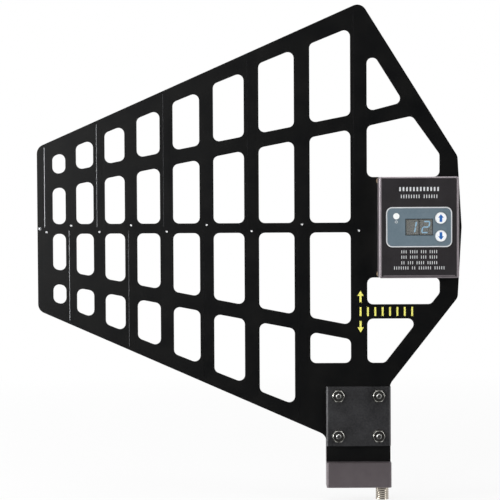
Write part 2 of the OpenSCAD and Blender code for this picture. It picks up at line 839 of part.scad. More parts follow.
// Domed head with a six-sided socket, standing on the plane y = 0 and facing +Y
module screw_head(r, h, socket_af) {
  side = h * 0.45;
  dome = h - side;
  floor = h * 0.35;
  difference() {
    rotate([-90, 0, 0]) rotate_extrude()
      polygon([
        [0, 0],
        [r, 0],
        [r, side],
        for (a = [15:15:75]) [r - dome * (1 - cos(a)), side + dome * sin(a)],
        [r - dome, h],
        [0, h]
      ]);
    translate([0, floor, 0]) rotate([-90, 0, 0]) cylinder(h = h, d = socket_af / cos(30), $fn = 6);
  }
}

box_head_r = 2.5;
box_head_h = 1.7;
box_socket_af = 1.6;
module housing_screws() {
  color("#b5b7ba")
  for (p = post_places()) {
    rod(p.x, p.y, board_back - box_screw_l, board_back, box_screw_d / 2);
    translate([p.x, board_back, p.y]) screw_head(box_head_r, box_head_h, box_socket_af);
  }
}

// Block that carries the neck: a solid foot, and a wall behind the board
back_y = mount_depth / 2;
wall_y = board_back + fit_gap;
plate_top_z = plate_z + plate_h;
screw_hole_r = screw_d / 2 + clamp_hole_gap;
head_gap = 0.4;
head_y = back_y - head_h - head_gap;
module mount_block() {
  half_w = mount_w / 2;
  c = mount_chamfer;
  slot_z = mount_base_h - slot_depth;
  jack_step_z = jack_in + fit_gap;
  color("#55504f")
  difference() {
    linear_extrude(plate_top_z)
      polygon([
        [-half_w, -back_y + c],
        [-half_w + c, -back_y],
        [half_w - c, -back_y],
        [half_w, -back_y + c],
        [half_w, back_y - c],
        [half_w - c, back_y],
        [-half_w + c, back_y],
        [-half_w, back_y - c]
      ]);
    translate([-mount_w, -mount_depth, mount_base_h])
      cube([2 * mount_w, mount_depth + wall_y, plate_top_z]);
    translate([-neck_w / 2 - fit_gap, board_front - fit_gap, slot_z])
      cube([neck_w + 2 * fit_gap, board_t + 2 * fit_gap, slot_depth + 1]);
    translate([0, 0, -1]) cylinder(h = stand_depth + 1, d = stand_d);
    translate([jack_x, 0, -1]) cylinder(h = jack_step_z + 1, d = jack_root_d + 2 * fit_gap);
    translate([jack_x, 0, 0]) cylinder(h = slot_z + 1, d = jack_bore_d);
    for (p = clamp_places()) {
      rod(p.x, p.y, wall_y - 1, back_y + 1, screw_hole_r);
      rod(p.x, p.y, head_y, back_y + 1, head_r + head_gap);
    }
  }
}

module clamp_plate() {
  half_w = mount_w / 2;
  c = mount_chamfer;
  front = board_front - plate_t;
  color("#2e2e30")
  difference() {
    translate([0, 0, plate_z]) linear_extrude(plate_h)
      polygon([
        [-half_w, front + c],
        [-half_w + c, front],
        [half_w - c, front],
        [half_w, front + c],
        [half_w, board_front],
        [-half_w, board_front]
      ]);
    for (p = clamp_places()) rod(p.x, p.y, front - 1, board_front + 1, screw_hole_r);
  }
}

plate_front_y = board_front - plate_t;
washer_front_y = plate_front_y - washer_t;
nut_front_y = washer_front_y - nut_t;
clamp_socket_af = 2.8;
screw_end_cut = 0.4;
module clamp_screws() {
  reach = head_y - nut_front_y + screw_past_nut;
  color("#b9bbbd")
  for (p = clamp_places()) {
    translate([p.x, head_y, p.y]) rotate([90, 0, 0]) rotate_extrude()
      polygon([
        [0, 0],
        [screw_d / 2, 0],
        [screw_d / 2, reach - screw_end_cut],
        [screw_d / 2 - screw_end_cut, reach],
        [0, reach]
      ]);
    translate([p.x, head_y, p.y]) screw_head(head_r, head_h, clamp_socket_af);
  }
}

// Washer with a ring of outer teeth, each given by its corners in shares of the teeth's pitch
tooth_h = 1.1;
tooth_root = 0.42;
tooth_tip = 0.24;
module tooth_washers() {
  n = washer_teeth;
  ring = washer_r - tooth_h;
  corners = [[-tooth_root, ring], [-tooth_tip, washer_r], [tooth_tip, washer_r], [tooth_root, ring]];
  color("#c2c4c6")
  for (p = clamp_places())
    difference() {
      slab(washer_front_y, plate_front_y)
      translate(p)
      polygon([
        for (i = [0:n - 1], c = corners)
          c[1] * [cos((i + c[0]) * 360 / n), sin((i + c[0]) * 360 / n)]
      ]);
      rod(p.x, p.y, washer_front_y - 1, plate_front_y + 1, screw_hole_r);
    }
}

// Six-sided nuts with chamfered corners
module hex_nuts() {
  corner_r = nut_af / 2 / cos(30);
  round_r = nut_af / 2 - 0.1;
  cut = 0.5;
  color("#c6c8ca")
  for (p = clamp_places())
    difference() {
      intersection() {
        translate([p.x, washer_front_y, p.y]) rotate([90, 0, 0]) cylinder(h = nut_t, r = corner_r, $fn = 6);
        translate([p.x, washer_front_y, p.y]) rotate([90, 0, 0]) rotate_extrude()
          polygon([
            [0, 0],
            [corner_r, 0],
            [corner_r, nut_t - cut],
            [round_r, nut_t],
            [0, nut_t]
          ]);
      }
      rod(p.x, p.y, nut_front_y - 1, washer_front_y + 1, screw_d / 2 + fit_gap);
    }
}

// Barrel of the coaxial jack, open at its lower end
jack_cut = 0.5;
module jack_shell() {
  color("#c9c6bd")
  translate([jack_x, 0, 0])
  difference() {
    rotate_extrude()
      polygon([
        [0, -jack_out],
        [jack_d / 2 - jack_cut, -jack_out],
        [jack_d / 2, -jack_out + jack_cut],
        [jack_d / 2, 0],
        [jack_root_d / 2, 0],
        [jack_root_d / 2, jack_in],
        [0, jack_in]
      ]);
    translate([0, 0, -jack_out - 1]) cylinder(h = jack_out + jack_in + 2, d = jack_bore_d);
  }
}

module jack_insulator() {
  color("#e9e6da")
  translate([jack_x, 0, -jack_out + insulator_in])
  difference() {
    cylinder(h = jack_out - insulator_in + jack_in, d = jack_bore_d - 2 * fit_gap);
    translate([0, 0, -1]) cylinder(h = jack_out + jack_in + 2, d = contact_d + 2 * fit_gap);
  }
}

// Centre contact, from its socket up to the end of the neck
module jack_contact() {
  top = mount_base_h - slot_depth;
  base = -jack_out + insulator_in;
  color("#c8a24e")
  translate([jack_x, 0, base])
  difference() {
    cylinder(h = top - base, d = contact_d);
    translate([0, 0, -1]) cylinder(h = socket_depth + 1, d = socket_d);
  }
}

main_board();
front_copper();
rear_copper();
tip_solder();
direction_marks();
corner_pads();
amplifier_housing();
front_label();
control_panel();
display_body();
lit_segments();
dark_segments();
display_window();
lamp_lens();
power_lamp();
up_button();
down_button();
button_switches();
amplifier_board();
filter_blocks();
amplifier_chips();
feed_pins();
housing_screws();
mount_block();
clamp_plate();
clamp_screws();
tooth_washers();
hex_nuts();
jack_shell();
jack_insulator();
jack_contact();
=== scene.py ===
# %% [markdown]
# # A log periodic antenna on a circuit board
# The antenna is one flat circuit board cut into a lattice. Copper arms under black lacquer do the
# receiving, a metal box on the board carries an amplifier, and a clamp mount holds the neck.
# The solids come ready made from the CAD frame, in metres. This lesson gives each of them its
# finish, adds what is too fine for a solid, such as prints, beads of lacquer and threads, and then
# sets up a small studio and its camera.

import math

import bpy
from mathutils import Matrix, Vector


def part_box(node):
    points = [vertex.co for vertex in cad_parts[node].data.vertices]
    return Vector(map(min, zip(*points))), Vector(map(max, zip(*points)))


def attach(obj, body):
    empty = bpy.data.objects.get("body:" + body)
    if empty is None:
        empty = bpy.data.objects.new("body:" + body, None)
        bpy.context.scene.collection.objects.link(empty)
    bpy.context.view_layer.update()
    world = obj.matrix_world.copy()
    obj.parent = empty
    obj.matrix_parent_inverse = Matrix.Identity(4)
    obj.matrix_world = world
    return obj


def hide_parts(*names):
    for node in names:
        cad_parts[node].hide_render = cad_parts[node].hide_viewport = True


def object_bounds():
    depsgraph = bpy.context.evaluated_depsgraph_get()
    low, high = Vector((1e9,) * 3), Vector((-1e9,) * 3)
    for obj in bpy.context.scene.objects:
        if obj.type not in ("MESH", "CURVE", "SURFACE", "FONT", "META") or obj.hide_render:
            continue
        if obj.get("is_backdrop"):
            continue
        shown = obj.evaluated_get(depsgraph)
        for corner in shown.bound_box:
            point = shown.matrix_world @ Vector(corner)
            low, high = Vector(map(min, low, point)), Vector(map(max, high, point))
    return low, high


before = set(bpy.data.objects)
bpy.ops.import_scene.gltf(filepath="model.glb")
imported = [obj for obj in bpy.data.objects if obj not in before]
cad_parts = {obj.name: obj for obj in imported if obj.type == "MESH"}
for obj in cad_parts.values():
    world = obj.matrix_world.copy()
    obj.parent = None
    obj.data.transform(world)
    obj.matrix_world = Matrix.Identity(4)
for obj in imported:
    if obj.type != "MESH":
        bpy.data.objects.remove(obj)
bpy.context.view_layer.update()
scene = bpy.context.scene
MM = 0.001

# %% [markdown]
# ## Numbers that vary over a surface
# A finish is never one flat colour: lacquer has a haze, paint a fine grain. Such changes are sums
# and products of a few patterns. Written by hand that is a page of Math nodes, so one small class
# wraps a socket and lets Python's own operators add the nodes.

# %% Amounts
class Amount:
    """A number that changes over a surface."""

    def __init__(self, finish, socket):
        self.finish = finish
        self.socket = socket

    def sum_of(self, operation, *terms):
        """The result of a Math node."""
        node = self.finish.add("ShaderNodeMath", {"operation": operation}, dict(enumerate(terms)))
        return Amount(self.finish, node.outputs[0])

    def __add__(self, other):
        return self.sum_of("ADD", self, other)

    def __sub__(self, other):
        return self.sum_of("SUBTRACT", self, other)

    def __rsub__(self, other):
        return self.sum_of("SUBTRACT", other, self)

    def __mul__(self, other):
        return self.sum_of("MULTIPLY", self, other)

    __radd__ = __add__
    __rmul__ = __mul__

    def size(self):
        return self.sum_of("ABSOLUTE", self)

    def wave(self):
        return self.sum_of("SINE", self)

    def larger(self, other):
        return self.sum_of("MAXIMUM", self, other)

    def between(self, low, high):
        """0 up to low, 1 from high on, and a straight ramp between."""
        node = self.finish.add("ShaderNodeMapRange", {}, {0: self, 1: low, 2: high})
        return Amount(self.finish, node.outputs[0])


# %% [markdown]
# ## Finishes
# A finish is a material with its Principled shader. What is the same all over goes straight onto
# the shader's sockets. Every other node comes from one method, which takes the node's type, then
# its settings, and then the values or links of its sockets. Colours are written as they are read
# off a picture, from 0 to 255, and turned into the light that they stand for.

# %% The finish class
def paint(red, green, blue):
    """The linear colour of a picture's 0 to 255 colour."""
    def linear(v):
        v /= 255
        return v / 12.92 if v <= 0.04045 else ((v + 0.055) / 1.055) ** 2.4

    return (linear(red), linear(green), linear(blue), 1)


class Finish:
    """A material whose nodes are added one call at a time."""

    def __init__(self, name, constants=None):
        self.material = bpy.data.materials.new(name)
        self.material.use_nodes = True
        self.tree = self.material.node_tree
        self.shader = self.tree.nodes["Principled BSDF"]
        self.feed(self.shader, constants or {})
        self.where = None

    def add(self, kind, settings, values):
        """A new node with its settings and the values or links of its sockets."""
        node = self.tree.nodes.new(kind)
        for name, value in settings.items():
            setattr(node, name, value)
        self.feed(node, values)
        return node

    def feed(self, node, values):
        """Give sockets a value, or link them where the value is another socket."""
        for key, value in values.items():
            if isinstance(value, Amount):
                value = value.socket
            if isinstance(value, bpy.types.NodeSocket):
                self.tree.links.new(value, node.inputs[key])
            else:
                node.inputs[key].default_value = value

    def place(self):
        """The point on the object, in metres."""
        if self.where is None:
            self.where = self.add("ShaderNodeTexCoord", {}, {}).outputs["Object"]
        return self.where

    def axis(self, letter):
        """One coordinate of the point on the object."""
        parts = self.add("ShaderNodeSeparateXYZ", {}, {0: self.place()})
        return Amount(self, parts.outputs[letter])

    def facing(self, letter):
        """How far the surface faces along an axis, from -1 to 1."""
        normal = self.add("ShaderNodeTexCoord", {}, {}).outputs["Normal"]
        return Amount(self, self.add("ShaderNodeSeparateXYZ", {}, {0: normal}).outputs[letter])

    def grain(self, size, detail=2.0):
        """Noise whose lumps are about size metres across."""
        node = self.add(
            "ShaderNodeTexNoise", {}, {"Vector": self.place(), "Scale": 1 / size, "Detail": detail}
        )
        return Amount(self, node.outputs[0])

    def blend(self, one, other, share):
        """Colour that goes from one to other as share goes from 0 to 1."""
        node = self.add("ShaderNodeMix", {"data_type": "RGBA"}, {0: share, 6: one, 7: other})
        return node.outputs[2]

    def relief(self, height, depth, strength=1.0):
        """Bumps on the surface, depth metres high."""
        node = self.add(
            "ShaderNodeBump", {}, {"Height": height, "Distance": depth, "Strength": strength}
        )
        self.feed(self.shader, {"Normal": node.outputs[0]})


# %% [markdown]
# Most parts need the same three things: a colour that drifts a little towards a second one, a
# roughness that is not quite even, and a fine grain in the surface. One recipe makes them, with
# the size of the grain as it would be on the real finish.

# %% The common recipe
CLOUD_PER_GRAIN = 12


def coated(name, colour, drift, roughness, grain, metallic=0.0, gloss=0.5, relief=4e-6):
    """A finish with a drifting colour, an uneven roughness and a fine grain."""
    finish = Finish(name, {"Metallic": metallic, "Specular IOR Level": gloss})
    cloud = finish.grain(grain * CLOUD_PER_GRAIN, 3.0)
    fine = finish.grain(grain)
    share = (cloud * 0.6 + fine * 0.4).between(0.3, 0.7)
    finish.feed(finish.shader, {
        "Base Color": finish.blend(paint(*colour), paint(*drift), share),
        "Roughness": roughness - 0.05 + fine * 0.1,
    })
    finish.relief(fine, relief)
    return finish


# %% [markdown]
# ## Black lacquer over the board and its copper
# The board is glass cloth in resin under black lacquer. The cloth's weave shows as a very faint
# cross pattern, and the lacquer has a bluish and olive haze. The sawn edges show the core, a dull
# brown black. The lacquer over the copper is the same, only a little smoother, so both come from
# one function.

# %% Board finishes
WEAVE = 0.0006
CORE = (44, 40, 36)


def lacquer(name, colour, haze, roughness):
    """Black lacquer on the faces, and the board's core on its sawn edges."""
    finish = Finish(name, {"Specular IOR Level": 0.36})
    cloud = finish.grain(0.02, 3.0)
    fine = finish.grain(0.0009)
    turns = 2 * math.pi / WEAVE
    weave = (finish.axis("X") * turns).wave() * (finish.axis("Z") * turns).wave()
    flat = finish.facing("Y").size().between(0.5, 0.9)
    share = (cloud * 0.7 + fine * 0.3).between(0.35, 0.65)
    face = finish.blend(paint(*colour), paint(*haze), share)
    finish.feed(finish.shader, {
        "Base Color": finish.blend(paint(*CORE), face, flat),
        "Roughness": roughness + (cloud - 0.5) * 0.12 + (1 - flat) * 0.25,
    })
    finish.relief(weave * 0.5 + fine, 5e-6, 0.5)
    return finish


board_lacquer = lacquer("board_lacquer", (3, 4, 6), (9, 9, 8), 0.37)
copper_lacquer = lacquer("copper_lacquer", (4, 5, 7), (9, 9, 9), 0.35)

# %% [markdown]
# ## Paints, films and plastics
# The amplifier box is anodised metal with a mauve grey sheen, its label a charcoal film, and the
# control panel a blue grey film. Plastics and prints differ mostly in colour and gloss.

# %% Box, film and plastic finishes
box_metal = coated("box_metal", (122, 115, 119), (134, 127, 131), 0.42, 0.0006, metallic=0.55)
label_film = coated("label_film", (35, 32, 34), (44, 41, 44), 0.5, 0.0009, gloss=0.3)
panel_film = coated("panel_film", (94, 112, 123), (106, 122, 132), 0.5, 0.0012, gloss=0.35)
display_black = coated("display_black", (22, 22, 23), (30, 30, 32), 0.35, 0.0008)
cell_ground = coated("cell_ground", (104, 100, 90), (118, 114, 104), 0.6, 0.0007, gloss=0.2)
unlit_stroke = coated("unlit_stroke", (94, 92, 86), (102, 100, 95), 0.5, 0.0006, gloss=0.2)
white_print = coated("white_print", (204, 207, 209), (216, 218, 220), 0.5, 0.0005)
blue_print = coated("blue_print", (14, 92, 170), (26, 106, 186), 0.45, 0.0006)
yellow_print = coated("yellow_print", (232, 226, 98), (240, 236, 122), 0.55, 0.0006)
button_white = coated("button_white", (243, 246, 249), (250, 251, 252), 0.3, 0.0008)
switch_plastic = coated("switch_plastic", (38, 38, 40), (46, 46, 48), 0.45, 0.0008)
chip_plastic = coated("chip_plastic", (30, 30, 32), (38, 38, 40), 0.5, 0.0008)
inner_green = coated("inner_green", (24, 82, 50), (34, 98, 60), 0.35, 0.0009)
insulator_white = coated("insulator_white", (226, 222, 208), (236, 232, 220), 0.4, 0.0009)

# %% [markdown]
# ## Metals
# A bare metal takes its colour from what it reflects, so its own colour is only a tint. The mount
# block and the clamp plate are anodised: the metal is still there, but under a dull coloured skin.
# Nuts, washers and screws are bright, with the fine scratches of their making.

# %% Metal finishes
block_anodised = coated("block_anodised", (94, 87, 90), (104, 97, 100), 0.42, 0.0005, metallic=0.4)
plate_anodised = coated(
    "plate_anodised", (34, 34, 36), (74, 74, 76), 0.36, 0.0013, metallic=0.4, relief=2e-5
)
nut_steel = coated("nut_steel", (168, 167, 160), (214, 213, 208), 0.2, 0.0006, metallic=1.0)
screw_steel = coated("screw_steel", (150, 150, 148), (186, 186, 184), 0.3, 0.0005, metallic=1.0)
filter_can = coated("filter_can", (188, 190, 194), (206, 208, 210), 0.32, 0.0009, metallic=1.0)
gold_plate = coated("gold_plate", (206, 182, 150), (222, 202, 172), 0.34, 0.0005, metallic=0.85)
solder_tin = coated("solder_tin", (196, 198, 202), (222, 224, 226), 0.28, 0.0004, metallic=1.0)
jack_nickel = coated("jack_nickel", (158, 150, 138), (186, 179, 168), 0.08, 0.0006, metallic=1.0)

# %% [markdown]
# ## Things that shine or let light through
# The lit strokes of the digits glow a pale blue of their own. The lens of the lamp is milky, and
# the pane over the display is almost clear: mostly see-through, with a polished surface.

# %% Glowing and clear finishes
lit_stroke = coated("lit_stroke", (128, 172, 200), (146, 188, 214), 0.4, 0.0006)
shimmer = lit_stroke.grain(0.0012)
lit_stroke.feed(lit_stroke.shader, {
    "Emission Color": lit_stroke.blend(paint(140, 196, 230), paint(176, 220, 244), shimmer),
    "Emission Strength": 0.1,
})
lamp_milk = coated("lamp_milk", (244, 246, 246), (250, 251, 250), 0.25, 0.0009)
clear_pane = Finish("clear_pane", {"Specular IOR Level": 0.4})
haze = clear_pane.grain(0.006)
clear_pane.feed(clear_pane.shader, {
    "Base Color": clear_pane.blend(paint(150, 160, 166), paint(176, 184, 188), haze),
    "Roughness": 0.06 + haze * 0.08,
    "Alpha": 0.08 + haze * 0.06,
})

# %% [markdown]
# ## Dressing the solids
# Each solid from the CAD frame keeps its shape and place. Only its material slots are filled.

# %% Finishes of the solids
DRESS = {
    "main_board": board_lacquer,
    "front_copper": copper_lacquer,
    "rear_copper": copper_lacquer,
    "tip_solder": solder_tin,
    "direction_marks": yellow_print,
    "corner_pads": gold_plate,
    "amplifier_housing": box_metal,
    "front_label": label_film,
    "control_panel": panel_film,
    "display_body": display_black,
    "lit_segments": lit_stroke,
    "dark_segments": unlit_stroke,
    "display_window": clear_pane,
    "lamp_lens": lamp_milk,
    "power_lamp": lamp_milk,
    "up_button": button_white,
    "down_button": button_white,
    "button_switches": switch_plastic,
    "amplifier_board": inner_green,
    "filter_blocks": filter_can,
    "amplifier_chips": chip_plastic,
    "feed_pins": gold_plate,
    "housing_screws": screw_steel,
    "mount_block": block_anodised,
    "clamp_plate": plate_anodised,
    "clamp_screws": screw_steel,
    "tooth_washers": nut_steel,
    "hex_nuts": nut_steel,
    "jack_shell": jack_nickel,
    "jack_insulator": insulator_white,
    "jack_contact": gold_plate,
}
for name, finish in DRESS.items():
    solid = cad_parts[name]
    if not solid.material_slots:
        solid.data.materials.append(finish.material)
    for holder in solid.material_slots:
        holder.material = finish.material
print("dressed", len(DRESS), "of", len(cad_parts), "solids")

# %% [markdown]
# ## Making a fine piece
# The fine pieces are meshes from lists of points and faces. Most are flat shapes with a little
# thickness: an outline in the X-Z plane, drawn in millimetres, from one depth to another. Several
# such shapes can share one mesh, as the strokes of a print do.

# %% Meshes from points and faces
def piece(name, points, faces, finish, body="antenna", smooth=False):
    """Mesh from points in mm that rides on a body."""
    mesh = bpy.data.meshes.new(name)
    mesh.from_pydata([Vector(p) * MM for p in points], [], faces)
    mesh.polygons.foreach_set("use_smooth", [smooth] * len(mesh.polygons))
    mesh.materials.append(finish.material)
    made = bpy.data.objects.new(name, mesh)
    scene.collection.objects.link(made)
    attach(made, body)
    print(name, len(faces), "faces")
    return made


def flat_shapes(outlines, back, front):
    """Points and faces of flat shapes between two depths, the front one being more negative."""
    points, faces = [], []
    for outline in outlines:
        n = len(outline)
        at = len(points)
        points += [(x, front, z) for x, z in outline] + [(x, back, z) for x, z in outline]
        faces.append([at + i for i in range(n)])
        faces.append([at + n + i for i in reversed(range(n))])
        faces += [[at + i, at + n + i, at + n + (i + 1) % n, at + (i + 1) % n] for i in range(n)]
    return points, faces


def bar(x, z, width, height):
    """Outline of an upright rectangle about its middle."""
    return [(x - width / 2, z - height / 2), (x + width / 2, z - height / 2),
            (x + width / 2, z + height / 2), (x - width / 2, z + height / 2)]


# %% [markdown]
# ## The bright edge of each copper arm
# Copper stands a tenth of a millimetre proud of the board, and the lacquer thins out over its
# edge. Seen from the front, the left edge of each arm catches the light as a thin bright line.
# A texture could paint the line, but then it would shine from every side. A fine half-round bead
# along the copper's own edge catches the light as the real one does, so its place is read from the
# copper solid: every long wall that faces left gets a bead. The beads' colour is painted to fade from
# bright at the tip to near black towards the box: a painted fade of their glint along the boom.

# %% Finish of the beads
FULL_SHINE = -0.232
NO_SHINE = -0.11
edge_shine = Finish("edge_shine", {"Metallic": 0.8})
# Painted highlight: the beads' colour goes from bright at FULL_SHINE to near black at NO_SHINE along
# X, standing in for the glint fading away from the left lamp.
glint_fade = edge_shine.axis("X").between(FULL_SHINE, NO_SHINE)
painted_glint = 1 - glint_fade
uneven = edge_shine.grain(0.0009)
edge_shine.feed(edge_shine.shader, {
    "Base Color": edge_shine.blend(
        paint(16, 16, 18), paint(196, 198, 202), painted_glint * painted_glint * (0.8 + uneven * 0.4)
    ),
    "Roughness": 0.3 + uneven * 0.12,
})

# %% [markdown]
# A bead's profile is half an ellipse on a short foot that stands on the board. The same profile is
# drawn at both ends of a wall, a little past the copper, and faces join the two.

# %% Beads along the copper
BEAD_WIDE = 0.36
BEAD_HIGH = 0.09
BEAD_STEPS = 6
BEAD_IN = 0.4
BEAD_SUNK = 0.03
BEAD_FOOT = 0.07
BEAD_PAST = 1.3
SHORT_WALL = 8


def left_walls(name):
    """Place x and ends in z, in mm, of the solid's long walls that face left."""
    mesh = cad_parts[name].data
    spans = {}
    for face in mesh.polygons:
        if face.normal.x < -0.99:
            corners = [mesh.vertices[i].co / MM for i in face.vertices]
            span = spans.setdefault(round(corners[0].x, 2), [1e9, -1e9])
            span[0] = min(span[0], *[c.z for c in corners])
            span[1] = max(span[1], *[c.z for c in corners])
    return [(x, low, high) for x, (low, high) in sorted(spans.items()) if high - low > SHORT_WALL]


def beads(name, copper, y, outward):
    """Beads along the left walls of a copper solid whose face lies at y."""
    points, faces = [], []
    for x, low, high in left_walls(copper):
        at = len(points)
        middle = x + BEAD_IN
        base = y - outward * BEAD_SUNK
        profile = [(middle - BEAD_WIDE / 2, base - outward * BEAD_FOOT)]
        for step in range(BEAD_STEPS + 1):
            turn = math.pi * step / BEAD_STEPS
            profile.append((middle - BEAD_WIDE / 2 * math.cos(turn),
                            base + outward * BEAD_HIGH * math.sin(turn)))
        profile.append((middle + BEAD_WIDE / 2, base - outward * BEAD_FOOT))
        points += [(a, b, z) for z in (low - BEAD_PAST, high + BEAD_PAST) for a, b in profile]
        ring = len(profile)
        for i in range(ring):
            j = (i + 1) % ring
            faces.append([at + i, at + j, at + ring + j, at + ring + i][::-outward])
        faces.append([at + i for i in range(ring)][::outward])
        faces.append([at + ring + i for i in range(ring)][::-outward])
    return piece(name, points, faces, edge_shine)


front_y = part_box("front_copper")[0].y / MM
rear_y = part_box("rear_copper")[1].y / MM
beads("front_arm_edges", "front_copper", front_y, -1)
beads("rear_arm_edges", "rear_copper", rear_y, 1)

# %% [markdown]
# ## Tinned rims of the drilled holes
# Each drilled hole is plated, and its tinned rim stands a little proud of the lacquer. At this size
# a rim is a bright dot with the hole in it. It is a small ring with a round back, turned about the
# hole's own axis, so it catches the lights from either side.

# %% Shape of a rim
RIM_R = 0.68
RIM_WIDE = 0.17
RIM_STEPS = 6
RIM_AROUND = 24


def rim(x, z, y, outward):
    """Points and faces of a half-round ring on the plane y."""
    points, faces = [], []
    for i in range(RIM_AROUND):
        a = 2 * math.pi * i / RIM_AROUND
        for step in range(RIM_STEPS + 1):
            turn = math.pi * step / RIM_STEPS
            radius = RIM_R - RIM_WIDE * math.cos(turn)
            points.append((x + radius * math.cos(a), y + outward * RIM_WIDE * math.sin(turn),
                           z + radius * math.sin(a)))
    n = RIM_STEPS + 1
    for i in range(RIM_AROUND):
        j = (i + 1) % RIM_AROUND
        faces += [[i * n + k, i * n + k + 1, j * n + k + 1, j * n + k] for k in range(RIM_STEPS)]
    return points, faces


def join(parts):
    """Points and faces of several shapes as those of one."""
    points, faces = [], []
    for more, shapes in parts:
        faces += [[len(points) + i for i in shape] for shape in shapes]
        points += more
    return points, faces


# %% [markdown]
# Where the holes are is read from the board itself. Vertices that share a wall belong to one loop,
# and a loop that is 1 mm wide and 1 mm high is a drilled hole. The first hole lies under the drop
# of solder at the tip, so it gets no rim.

# %% Rims of the holes
DRILL = 1.0
DRILL_SLACK = 0.05


def small_holes():
    """Centres in mm, in x and z, of the board's drilled holes."""
    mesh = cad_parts["main_board"].data
    loops = {}
    parent = list(range(len(mesh.vertices)))

    def root(i):
        while parent[i] != i:
            parent[i] = parent[parent[i]]
            i = parent[i]
        return i

    for face in mesh.polygons:
        if abs(face.normal.y) < 0.1:
            for i in face.vertices[1:]:
                parent[root(i)] = root(face.vertices[0])
    for v in mesh.vertices:
        loops.setdefault(root(v.index), []).append(v.co / MM)
    found = []
    for corners in loops.values():
        xs, zs = [c.x for c in corners], [c.z for c in corners]
        wide, high = max(xs) - min(xs), max(zs) - min(zs)
        if max(abs(wide - DRILL), abs(high - DRILL)) < DRILL_SLACK:
            found.append(((max(xs) + min(xs)) / 2, (max(zs) + min(zs)) / 2))
    return sorted(found)


holes = small_holes()
print(len(holes), "drilled holes, first at", [round(v, 2) for v in holes[0]])
tinned = coated("tinned", (206, 208, 210), (226, 228, 230), 0.3, 0.0004, metallic=1.0)
board_low, board_high = (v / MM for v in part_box("main_board"))
for name, y, outward in [("front_hole_rims", board_low.y, -1), ("rear_hole_rims", board_high.y, 1)]:
    piece(name, *join([rim(x, z, y, outward) for x, z in holes[1:]]), tinned, smooth=True)

# %% [markdown]
# ## The print on the box
# White print marks the label in plain upright bars, row by row, and a strip at its foot is left as
# bare metal. The control panel is bordered by a white line with round corners, and a plain
# switch-on sign stands under its lamp.

# %% Marks on the label
label_low, label_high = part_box("front_label")
film_y = label_low.y / MM
PRINT = 0.03
box_x = (label_low.x + label_high.x) / 2 / MM
box_z = (label_low.z + label_high.z) / 2 / MM
# In mm: height above the middle, height of the bars, pitch, width of a bar. Then the bars in each
# group of the row.
ROWS = [
    (27.3, 2.9, 2.45, 1.15, [12]),
    (22.1, 2.5, 1.8, 0.6, [8, 6]),
    (-17.2, 2.2, 1.55, 0.5, [3, 4, 3, 4]),
    (-21.0, 2.2, 1.55, 0.5, [3, 4, 3, 4]),
    (-25.0, 2.2, 1.55, 0.5, [2, 3, 4, 5]),
    (-28.7, 2.2, 1.6, 0.5, [7, 2, 6, 5]),
]
bars = []
for up, high, pitch, wide, groups in ROWS:
    x = box_x - pitch * (sum(groups) + len(groups) - 2) / 2
    for count in groups:
        bars += [bar(x + i * pitch, box_z + up, wide, high) for i in range(count)]
        x += pitch * (count + 1)
piece("label_bars", *flat_shapes(bars, film_y, film_y - PRINT), white_print)
FOOT_UP = 0.5
FOOT_HIGH = 0.8
FOOT_SHORTER = 2
foot_wide = (label_high.x - label_low.x) / MM - FOOT_SHORTER
foot = bar(box_x, label_low.z / MM + FOOT_UP, foot_wide, FOOT_HIGH)
piece("label_foot_strip", *flat_shapes([foot], film_y, film_y - PRINT), box_metal)

# %% [markdown]
# The border is a ring between two rounded rectangles. Both outlines have the same number of
# points, so the ring is a band of four-sided faces.

# %% Outlines and bands
CORNER_STEPS = 8


def rounded_corners(x, z, wide, high, radius):
    """Outline of a rounded rectangle."""
    outline = []
    for turn, (sx, sz) in enumerate([(1, 1), (-1, 1), (-1, -1), (1, -1)]):
        for step in range(CORNER_STEPS + 1):
            a = math.pi / 2 * (turn + step / CORNER_STEPS)
            outline.append((x + sx * (wide / 2 - radius) + radius * math.cos(a),
                            z + sz * (high / 2 - radius) + radius * math.sin(a)))
    return outline


def band(outer, inner, back, front, closed=True):
    """Points and faces of a flat band between two outlines."""
    n = len(outer)
    points = [(x, y, z) for y in (front, back) for line in (outer, inner) for x, z in line]
    faces = []
    for i in range(n if closed else n - 1):
        j = (i + 1) % n
        faces += [[i, n + i, n + j, j], [2 * n + j, 3 * n + j, 3 * n + i, 2 * n + i],
                  [j, 2 * n + j, 2 * n + i, i], [n + i, 3 * n + i, 3 * n + j, n + j]]
    if not closed:
        faces += [[0, 2 * n, 3 * n, n], [n - 1, 2 * n - 1, 4 * n - 1, 3 * n - 1]]
    return points, faces


# %% Border of the panel
BORDER = 0.75
PANEL_R = 4.3
panel_low, panel_high = (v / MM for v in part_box("control_panel"))
panel_wide = panel_high.x - panel_low.x
panel_tall = panel_high.z - panel_low.z
panel_x = (panel_high.x + panel_low.x) / 2
panel_z = (panel_high.z + panel_low.z) / 2
outer = rounded_corners(panel_x, panel_z, panel_wide, panel_tall, PANEL_R)
inner = rounded_corners(
    panel_x, panel_z, panel_wide - 2 * BORDER, panel_tall - 2 * BORDER, PANEL_R - BORDER
)
piece("panel_border", *band(outer, inner, film_y, film_y - PRINT), white_print)
print("panel", round(panel_wide, 1), "by", round(panel_tall, 1), "mm")

# %% [markdown]
# The switch-on sign is an open ring with an upright stroke in its gap. The ring is the same band as
# the border, only not closed.

# %% Sign under the lamp
SIGN_DOWN = 4.0
SIGN_R = 1.0
SIGN_LINE = 0.32
SIGN_START = 125
SIGN_TURN = 290
SIGN_STEPS = 20
STROKE_UP = 0.75
STROKE_HIGH = 1.1
lens_low, lens_high = (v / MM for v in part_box("lamp_lens"))
sign_x = (lens_low.x + lens_high.x) / 2
sign_z = (lens_low.z + lens_high.z) / 2 - SIGN_DOWN


